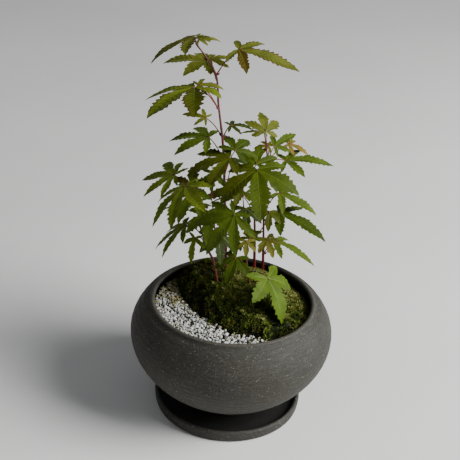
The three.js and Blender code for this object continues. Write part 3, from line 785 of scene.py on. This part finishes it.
LIMBS = {
    "stem_tall": (1.1, 0.45, [(-4.5, 21, GROUND), (-6, 20, 90), (-8, 19, 120), (-11, 17, 160),
                              (-15, 15, 188), (-17, 14, 205), (-23, 13, 216), (-28, 12.5, 222.5)]),
    "stem_left": (0.95, 0.42, [(-8, 12, GROUND), (-9.5, 12, 72), (-13, 11, 90), (-16, 11, 97),
                               (-21, 10, 111), (-25.5, 8, 134)]),
    "stem_middle": (1.0, 0.45, [(12, 33, GROUND), (12, 33, 72), (11, 31, 93), (10, 30, 108),
                                (8, 28, 127), (6.5, 26, 139)]),
    "stem_right": (0.9, 0.42, [(17.5, 38, GROUND), (17.4, 38, 72), (16.4, 37, 92), (15.5, 37, 107),
                               (15, 36, 127), (15, 35, 146)]),
    "stem_small": (0.75, 0.4, [(10, 12, GROUND), (9.5, 12, 73), (7.5, 12, 84), (6, 13, 95)]),
}
BOUGHS = {
    "bough_left_rear": ("stem_left", 98, 0.5, 0.38, [(-13, 13.5, 104), (-15, 15, 123), (-16.5, 15.5, 131)]),
    "bough_middle_left": ("stem_middle", 93, 0.55, 0.4, [(5.3, 29, 101.5), (3, 27, 118)]),
}
FLARE = 0.7
FLARE_HEIGHT = 7
LIMB_SIDES = 14
LIMB_STEP = 1.1
KNOT_SPACING = 17  # between two rings that old leaves left on the bark
KNOT_SWELL = 0.12
KNOT_WIDTH = 0.9
BARK_WAVE = 0.04  # slow swelling of a limb, as a share of its radius
BARK_WAVE_STEP = 5.3
BARK_ROUGHNESS = 0.012
BARK_OF_LIMB = (0, 1, 2, 2, 1, 1, 2)  # the stems in their order, then the two boughs


class Limb:
    def __init__(self, foot, tip, points, flares):
        self.foot = foot
        self.tip = tip
        self.way = Way(points)
        self.flares = flares

    def radius(self, share):
        plain = self.foot + (self.tip - self.foot) * np.asarray(share)
        if not self.flares:
            return plain
        return plain * (1 + FLARE * np.exp(-np.asarray(share) * self.way.length / FLARE_HEIGHT))


def grow_limbs():
    limbs = {name: Limb(foot, tip, way, True) for name, (foot, tip, way) in LIMBS.items()}
    for name, (stem, height, foot, tip, way) in BOUGHS.items():
        share = limbs[stem].way.share_at_height(height)
        limbs[name] = Limb(foot, tip, [limbs[stem].way.at(share), *way], False)
    return limbs


def bark(limbs):
    """Every stem and bough with the slight swellings and hollows of young bark."""
    heap = Heap()
    for number, limb in enumerate(limbs.values()):
        rng = np.random.default_rng(100 + number)
        share = np.linspace(0, 1, int(limb.way.length / LIMB_STEP) + 2)
        run = share * limb.way.length
        wave = BARK_WAVE * np.sin(run / BARK_WAVE_STEP + number)
        radii = limb.radius(share) * (1 + wave + rng.normal(0, BARK_ROUGHNESS, len(share)))
        for knot in np.arange(KNOT_SPACING * 0.7, limb.way.length, KNOT_SPACING):
            radii = radii * (1 + KNOT_SWELL * np.exp(-((run - knot) / KNOT_WIDTH) ** 2))
        heap.add(*tube(limb.way.at(share), radii, LIMB_SIDES), BARK_OF_LIMB[number])
    heap.make("red_stems", BARKS, "bark", nodes=[*LIMBS, *BOUGHS])


# ---------------- leaves

# Each form: the turn of its lobes from the middle one outwards, their lengths as shares of the leaf's
# size, half a lobe's width as a share of its length, and how deep the blade is joined between lobes.
PALM = {
    "seven": ([0, 40, 80, 125], [1, 0.9, 0.64, 0.36], 0.145, 0.34),
    "five": ([0, 46, 95], [1, 0.86, 0.56], 0.18, 0.34),
    "broad": ([0, 52, 105], [1, 0.88, 0.54], 0.21, 0.34),
    "three": ([0, 58, 112], [1, 0.6, 0.38], 0.155, 0.34),
    "young": ([0, 60, 115], [1, 0.74, 0.5], 0.22, 0.46),
}
LOBE_WIDEST = 0.5
LOBE_FULLNESS = 2.3
NOTCH = 0.08
REAR_TURN = 30
LOBE_SWING = 4
LOBE_GROWTH = 0.06
LEAF_DROOP = 0.24
LEAF_FOLD = 0.26  # rise of a lobe from its midrib to its edge
FOLD_EASE = 0.25  # how much of that rise is lost towards the edge
COLUMNS = (1, 0.8, 0.42, 0, 0.42, 0.8, 1)  # shares of the way from the midrib to each edge
ACROSS = len(COLUMNS)
MIDRIB = ACROSS // 2
LOBE_CURLS = (0.04, 0.3)
LOBE_SWAYS = (-0.07, 0.07)
CURL_START = 0.4  # share of a lobe's length beyond which it curls, sways and ripples
RIPPLE = 0.02
RIPPLE_RATE = 9
TOOTH = 2.6  # length of one tooth of the leaf's edge
TOOTH_LEAN = 0.35  # how far a tooth points forward, as a share of its length
TOOTH_OUT = 0.11
TOOTH_IN = 0.15
TOOTH_SIZES = (0.25, 0.6, 0.9, 1.5, 1.8)
STALK_RADIUS = 0.36
STALK_TAPER = 0.3
STALK_SINK = 2.0
STALK_BOW = 0.1
STALK_STEPS = 22
STALK_SIDES = 8
STALK_FOOT = 0.9  # how much thicker a stalk is where it leaves its limb
STALK_FOOT_LENGTH = 1.1
STALK_END = 0.97  # share of its length from which a stalk is half as thick, inside the blade
BUD_RADIUS = 0.5
BUD_SHAPE = (0.7, 0.95, 1.0, 0.85, 0.6, 0.32, 0.06)  # shares of its radius, from foot to tip
BUD_SIDES = 10
WEB_ROWS = 3
VEIN_WIDTH = 0.24
SIDE_VEIN_WIDTH = 0.1
VEIN_LIFT = 0.09  # distance of a vein from the blade's middle
VEIN_CREST = 1.6
VEIN_EDGE = 0.5
VEIN_TAPER = 0.25

# Each mass, by its node's name after leaves_: its limb and the height there, or None at the limb's tip,
# then its leaves as (x, y, z, heading, pitch, roll, size, form, tint).
MASSES = {
    "top_left": ("stem_tall", None, [
        (-30, 13.5, 226.5, 200, -14, 12, 26, "young", "olive"),
        (-27.5, 15, 225, 15, 8, 10, 12, "three", "olive"),
    ]),
    "top_right": ("stem_tall", 206, [(-6, 13, 221.5, -12, -1, 10, 34, "three", "khaki")]),
    "top_rear": ("stem_tall", 203, [
        (-23, 24, 209.5, 170, 6, -5, 24, "young", "olive"),
        (-21.5, 24.5, 210.5, 24, 12, 6, 13, "broad", "olive"),
    ]),
    "upper_left": ("stem_tall", 186, [
        (-28, 0, 203.5, -137, -2, 10, 33, "broad", "lime"),
        (-26.5, 2, 204, 5, 8, 15, 14, "three", "olive"),
    ]),
    "young_left": ("stem_tall", 169, [(-22, 22, 177, 165, 10, -25, 14, "three", "olive")]),
    "young_right": ("stem_tall", 168, [(-8, 18, 175, 20, 0, 10, 15, "three", "dark")]),
    "mid_left": ("stem_tall", 154, [(-19.5, 20, 166, 166, 0, -8, 24, "five", "green")]),
    "mid_front": ("stem_tall", 144, [
        (-7, 8, 160, 196, -8, -12, 25, "five", "deep"),
        (-4.5, 12, 162.5, 61, 12, 20, 18, "broad", "forest"),
    ]),
    "low_front": ("stem_tall", 94, [(-12, 6, 113.5, -70, -35, -10, 19, "five", "dark")]),
    "low_right": ("stem_tall", 110, [(-2.5, -10, 134, -143, -42, -22, 27, "seven", "green")]),
    "left_top": ("stem_left", None, [
        (-38, 16, 143, 154, -12, -20, 25, "seven", "lime"),
        (-30.5, -10, 150, -108, -12, 28, 30, "seven", "lime"),
        (-26, 8, 138, -130, -40, -10, 20, "five", "green"),
        (-27, 10, 138, 95, 40, 0, 16, "broad", "deep"),
    ]),
    "left_front": ("stem_left", 98, [(-17.5, 3.5, 128, -85, -48, 5, 20, "five", "green")]),
    "left_low": ("stem_left", 109, [(-30, 11, 113.5, 180, -30, 0, 24, "seven", "lime")]),
    "left_new": ("stem_left", 104, [(-24, 0, 112, -114, -55, 12, 15, "three", "lime")]),
    "middle_front": ("stem_middle", None, [
        (8.5, 11.5, 152, -84, -20, 8, 31, "broad", "fresh"),
        (8, 18, 152, 82, 36, 0, 15, "broad", "fresh"),
    ]),
    "middle_left": ("bough_middle_left", None, [(1, 26, 131, 193, 0, -20, 23, "three", "khaki")]),
    "middle_low": ("stem_middle", 112, [(4, 21, 122, -84, -34, 0, 15, "five", "dark")]),
    "middle_right": ("stem_middle", 97, [(24, 31.5, 115, -28, -2, 5, 32, "three", "forest")]),
    "right_top": ("stem_right", None, [
        (12.5, 37, 164, 101, 38, 10, 16, "broad", "khaki"),
        (11.5, 36.5, 164, 178, 5, 5, 14, "three", "khaki"),
        (18.5, 42, 153, 38, 24, 25, 18, "three", "green"),
        (15.5, 38.5, 154.5, 180, 0, -20, 9, "five", "gold"),
        (26.5, 46.5, 153, 0, -12, 15, 15, "three", "russet"),
        (25.5, 35.5, 147.5, 4, 9, 8, 28, "three", "green"),
    ]),
    "right_out": ("stem_right", 113, [(23.5, 37.5, 125, -20, -8, 8, 25, "three", "green")]),
    "right_middle": ("stem_right", 108, [(18, 24.5, 119, -92, -30, 0, 12, "five", "deep")]),
    "right_young": ("stem_right", 92, [(17.5, 27, 99, -60, -30, 10, 12, "broad", "gold")]),
    "right_low": ("stem_right", 82, [(22.5, 38.5, 91.5, -12, -11, -5, 29, "three", "green")]),
    "small_top": ("stem_small", None, [
        (1.5, 11.5, 104.5, 196, 12, -20, 12, "five", "forest"),
        (5.5, 10, 106.5, -88, -36, 0, 10, "five", "gold"),
        (7, 14.5, 105, 50, 20, 0, 12, "broad", "deep"),
    ]),
    "small_left": ("stem_small", 86, [(0, 2.5, 99, -112, -26, 0, 16, "broad", "forest")]),
    "small_right": ("stem_small", 84, [(19, -5, 91, -47, -37, -8, 27, "young", "bright")]),
    "rear_tall": ("stem_tall", 132, [(-5, 33, 146, 72, -12, 0, 26, "seven", "forest")]),
    "rear_bough": ("bough_left_rear", None, [(-15.5, 14.5, 147, -100, -40, 0, 11, "five", "green")]),
    "rear_left": ("stem_left", 114, [(-26, 22, 121, 120, -15, 5, 25, "five", "olive")]),
    "rear_middle": ("stem_middle", 112, [(2, 42, 119, 125, -15, 0, 26, "seven", "olive")]),
    "rear_right": ("stem_right", 124, [(14.5, 27, 142, -40, -30, 10, 12, "broad", "forest")]),
}
# Tints of single lobes, by mass and leaf and then by lobe, and of the whole margin, by mass.
ACCENTS = {
    ("top_right", 0): {1: "bronze"},
    ("upper_left", 0): {3: "deep"},
    ("middle_front", 0): {0: "deep", 1: "deep"},
}
MARGINS = {
    "top_left": "bronze",
    "top_right": "bronze",
    "upper_left": "bronze",
}
TINT_NAMES = list(LEAF_TINTS)
# Which of the vein tints lies on each leaf: the second on dark leaves, and the first on all others.
VEIN_OF_TINT = dict.fromkeys(LEAF_TINTS, 0) | dict.fromkeys(("forest", "dark", "deep"), 1)


def lobes_of(size, form, roll):
    """Each lobe's angle, length and half width, from the right-hand rear lobe round to the left one."""
    turn, reach, width = PALM[form][:3]

    def lobe(i, side):
        angle = side * turn[i] + LOBE_SWING * next(roll)
        length = size * reach[i] * (1 + LOBE_GROWTH * next(roll))
        return angle, length, length * width

    right = [lobe(i, -1) for i in range(len(turn) - 1, 0, -1)]
    middle = (0, size, size * width)
    left = [lobe(i, 1) for i in range(1, len(turn))]
    return [*right, middle, *left]


def edge_point(share, side, start, length, width, bite):
    """A point of a lobe's edge, share of the way from the sinus to the tip. A bite above 0 is a tooth's
    point, leaning ahead, and one below 0 is the notch behind it."""
    sx, sy = start
    x = sx + (length - sx) * share
    t = x / length
    if t < LOBE_WIDEST:
        rise = (t - sx / length) / (LOBE_WIDEST - sx / length)
        y = sy + (width - sy) * (3 * rise ** 2 - 2 * rise ** 3)
    else:
        y = width * (1 - ((t - LOBE_WIDEST) / (1 - LOBE_WIDEST)) ** LOBE_FULLNESS)
    if bite > 0:
        x += TOOTH_LEAN * TOOTH * bite * (1 - share)
        y *= 1 + TOOTH_OUT * bite
    else:
        y *= 1 + TOOTH_IN * bite
    return x, side * max(y, 0.04)


def lobe_rows(starts, length, width, rng):
    """A lobe's outline as rows (right edge, midrib, left edge), out along its length, in teeth that
    differ in size by chance."""
    middle_start = (starts[0][0] + starts[1][0]) / 2
    teeth = max(2, round((length - middle_start) / TOOTH))
    bites = rng.choice(TOOTH_SIZES, (2, 2 * teeth + 1))
    rows = []
    for k in range(1, WEB_ROWS + 1):
        v = k / WEB_ROWS
        right = (v * starts[0][0], -v * starts[0][1])
        left = (v * starts[1][0], v * starts[1][1])
        rows.append([right, (v * middle_start, 0), left])
    for k in range(1, 2 * teeth + 1):
        u = k / (2 * teeth)
        right_bite, left_bite = bites[:, k] * (0 if k == 2 * teeth else (1 if k % 2 else -1))
        right = edge_point(u, -1, starts[0], length, width, right_bite)
        left = edge_point(u, 1, starts[1], length, width, left_bite)
        rows.append([right, (middle_start + (length - middle_start) * u, 0), left])
    return rows


def leaf_sheet(size, lobes, sinus, rng):
    """The blade in its own frame, middle lobe along +X and face up +Z: its points, its faces, each
    face's lobe and whether it lies at the margin, the midribs, and the side veins to the teeth."""
    sinuses = [(lobes[0][0] - REAR_TURN, size * NOTCH)]
    for a, b in zip(lobes, lobes[1:]):
        sinuses.append(((a[0] + b[0]) / 2, sinus * min(a[1], b[1])))
    sinuses.append((lobes[-1][0] + REAR_TURN, size * NOTCH))
    points, faces, parts, ribs, twigs = [(0.0, 0.0, 0.0)], [], [], [], []
    for i, (angle, length, width) in enumerate(lobes):
        starts = []
        for turn, radius in (sinuses[i], sinuses[i + 1]):
            away = math.radians(abs(turn - angle))
            starts.append((radius * math.cos(away), radius * math.sin(away)))
        rows = lobe_rows(starts, length, width, rng)
        curl = rng.uniform(*LOBE_CURLS)
        wave = rng.uniform(0, 2 * math.pi)
        sway = rng.uniform(*LOBE_SWAYS)
        c, s = math.cos(math.radians(angle)), math.sin(math.radians(angle))
        first = len(points)
        rib = []
        for right, middle, left in rows:
            for edge, share in zip((right, right, right, middle, left, left, left), COLUMNS):
                x = middle[0] + (edge[0] - middle[0]) * share
                y = edge[1] * share
                t = max(x / length - CURL_START, 0)
                z = LEAF_FOLD * abs(y) * (1 - FOLD_EASE * abs(y) / width) - curl * t ** 2 * length
                z += RIPPLE * length * math.sin(RIPPLE_RATE * x / length + wave) * t
                y += sway * t ** 2 * length
                z -= LEAF_DROOP * (x * x + y * y) / size
                points.append((x * c - y * s, x * s + y * c, z))
            rib.append(len(points) - ACROSS + MIDRIB)
        for k in range(ACROSS - 1):
            faces.append([0, first + k, first + k + 1])
            parts.append((i, False))
        for row in range(len(rows) - 1):
            a, b = first + ACROSS * row, first + ACROSS * (row + 1)
            for k in range(ACROSS - 1):
                faces.append([a + k, b + k, b + k + 1, a + k + 1])
                parts.append((i, k in (0, ACROSS - 2)))
        ribs.append([0, *rib])
        for row in range(WEB_ROWS + 2, len(rows) - 2, 2):
            low, high = first + ACROSS * (row - 2), first + ACROSS * row
            twigs.append([low + MIDRIB, low + ACROSS + MIDRIB - 1, high + MIDRIB - 2])
            twigs.append([low + MIDRIB, low + ACROSS + MIDRIB + 1, high + MIDRIB + 2])
    return np.array(points), faces, parts, ribs, twigs


def leaf_axes(heading, pitch, roll):
    """A blade's own axes as columns: ahead along the middle lobe, to the left, and up from its face."""
    h, p, r = (math.radians(a) for a in (heading, pitch, roll))
    ahead = np.array([math.cos(h) * math.cos(p), math.sin(h) * math.cos(p), math.sin(p)])
    level = np.array([-math.sin(h), math.cos(h), 0])
    above = np.cross(ahead, level)
    left = level * math.cos(r) + above * math.sin(r)
    up = above * math.cos(r) - level * math.sin(r)
    return np.stack([ahead, left, up], axis=1)


def merged(points, faces, finishes):
    """Points that fall together become one, so that the sheet shades as one surface."""
    _, first, where = np.unique(np.round(points, 3), axis=0, return_index=True, return_inverse=True)
    where = where.reshape(-1)
    kept, kept_finishes = [], []
    for face, finish in zip(faces, finishes):
        corners = list(dict.fromkeys(where[face].tolist()))
        if len(corners) > 2:
            kept.append(corners)
            kept_finishes.append(finish)
    return points[first], kept, kept_finishes


def vein_strips(heap, line, axes, finish, thickness):
    """A slim raised strip along a vein, on the upper face and on the lower."""
    ahead = np.gradient(line, axis=0)
    across = unit_rows(np.cross(axes[:, 2], ahead))
    width = np.linspace(thickness, VEIN_TAPER * thickness, len(line))[:, None]
    for lift in (VEIN_LIFT, -VEIN_LIFT):
        middle = line + axes[:, 2] * lift * VEIN_CREST
        edge = line + axes[:, 2] * lift * VEIN_EDGE
        points = np.vstack([edge - across * width, middle, edge + across * width])
        n = len(line)
        faces = []
        for k in range(n - 1):
            faces.append([k, k + 1, n + k + 1, n + k])
            faces.append([n + k, n + k + 1, 2 * n + k + 1, 2 * n + k])
        heap.add(points, faces, finish)


def stalk(start, hub, axes):
    """A leaf's stalk, bowed upwards from its limb and ending inside the blade."""
    bend = (start + hub) / 2
    bend[2] += STALK_BOW * np.linalg.norm(hub - start)
    way = Way([start, bend, hub, hub + axes[:, 0] * STALK_SINK])
    along = np.linspace(0, 1, STALK_STEPS)
    foot = STALK_FOOT * np.exp(-along * way.length / STALK_FOOT_LENGTH)
    radii = STALK_RADIUS * (1 - STALK_TAPER * along + foot)
    radii = radii * np.where(along > STALK_END, 0.5, 1)
    return tube(way.at(along), radii, STALK_SIDES)


def bud(start, away):
    """A small bud beside the stalk's foot, leaning away from the limb and up."""
    way = Way([start, start + away * 1.2 + (0, 0, 0.5), start + away * 1.9 + (0, 0, 1.7)])
    along = np.linspace(0, 1, len(BUD_SHAPE))
    return tube(way.at(along), BUD_RADIUS * np.array(BUD_SHAPE), BUD_SIDES)


def mass_start(limb, height, first_leaf):
    """Where a mass leaves its limb, and which way: on at the limb's tip, or out towards its first leaf."""
    if height is None:
        return limb.way.at(1.0), limb.way.ahead(1.0)
    share = limb.way.share_at_height(height)
    root = limb.way.at(share)
    away = np.array([first_leaf[0] - root[0], first_leaf[1] - root[1], 0])
    away /= np.linalg.norm(away)
    return root + away * float(limb.radius(share)) * 0.5, away


def leaves(limbs):
    blades, veins, stalks, buds = Heap(), Heap(), Heap(), Heap()
    for number, (mass, (limb_name, height, rows)) in enumerate(MASSES.items()):
        start, away = mass_start(limbs[limb_name], height, rows[0])
        roll = dice(number + 1)
        for order, (x, y, z, heading, pitch, tilt, size, form, tint) in enumerate(rows):
            hub = np.array([x, y, z], float)
            axes = leaf_axes(heading, pitch, tilt)
            rng = np.random.default_rng(1000 + 10 * number + order)
            lobes = lobes_of(size, form, roll)
            points, faces, parts, ribs, twigs = leaf_sheet(size, lobes, PALM[form][3], rng)
            placed = points @ axes.T + hub
            for rib in ribs:
                vein_strips(veins, placed[rib], axes, VEIN_OF_TINT[tint], VEIN_WIDTH)
            for twig in twigs:
                vein_strips(veins, placed[twig], axes, VEIN_OF_TINT[tint], SIDE_VEIN_WIDTH)
            accents = ACCENTS.get((mass, order), {})
            margin = MARGINS.get(mass, tint)
            tints = [margin if at_margin else accents.get(lobe, tint) for lobe, at_margin in parts]
            blades.add(*merged(placed, faces, [TINT_NAMES.index(name) for name in tints]))
            stalks.add(*stalk(start, hub, axes))
        buds.add(*bud(start, away))
    blades.make("leaf_blades", [LEAVES[name] for name in TINT_NAMES], "leaf",
                nodes=["leaves_" + mass for mass in MASSES])
    veins.make("leaf_veins", VEINS, "leaf")
    stalks.make("leaf_stalks", [STALK_SKIN], "bark")
    buds.make("shoot_buds", [BUD_SKIN], "bark")


# ---------------- studio

FLOOR_SIZE = 9.0  # this and what follows in metres
LIGHTS = {  # place, size and power
    "key": ((0.95, -0.25, 0.75), 0.7, 32),
    "fill": ((-0.9, -0.7, 0.9), 1.6, 0.8),
}
AIM = Vector((0, 0, 0.09))
SKY_TONE = (0.94, 0.96, 1.0, 1)
SKY_STRENGTH = 0.22


def studio():
    floor_skin = Finish("pale floor", {"Roughness": 0.85, "Specular IOR Level": 0.05})
    mottle = floor_skin.ramp(floor_skin.noise(160, 2), 0.3, 0.7)
    floor_skin.feed("Base Color", floor_skin.mix(mottle, tone("dededc"), tone("e4e4e2")))
    bpy.ops.mesh.primitive_plane_add(size=FLOOR_SIZE)
    floor = bpy.context.object
    floor.name = "floor"
    floor.data.materials.append(floor_skin.material)
    for name, (place, size, power) in LIGHTS.items():
        add_light(name, place, size, power)
    world = bpy.data.worlds.new("studio")
    world.use_nodes = True
    world.node_tree.nodes["Background"].inputs["Color"].default_value = SKY_TONE
    world.node_tree.nodes["Background"].inputs["Strength"].default_value = SKY_STRENGTH
    bpy.context.scene.world = world


def add_light(name, place, size, power):
    data = bpy.data.lights.new(name, "AREA")
    data.size = size
    data.energy = power
    light = bpy.data.objects.new(name, data)
    light.location = place
    light.rotation_euler = (AIM - Vector(place)).to_track_quat("-Z", "Y").to_euler()
    bpy.context.scene.collection.objects.link(light)


# ---------------- everything together

bowl()
saucer()
moss()
grit()
grown = grow_limbs()
bark(grown)
leaves(grown)
studio()
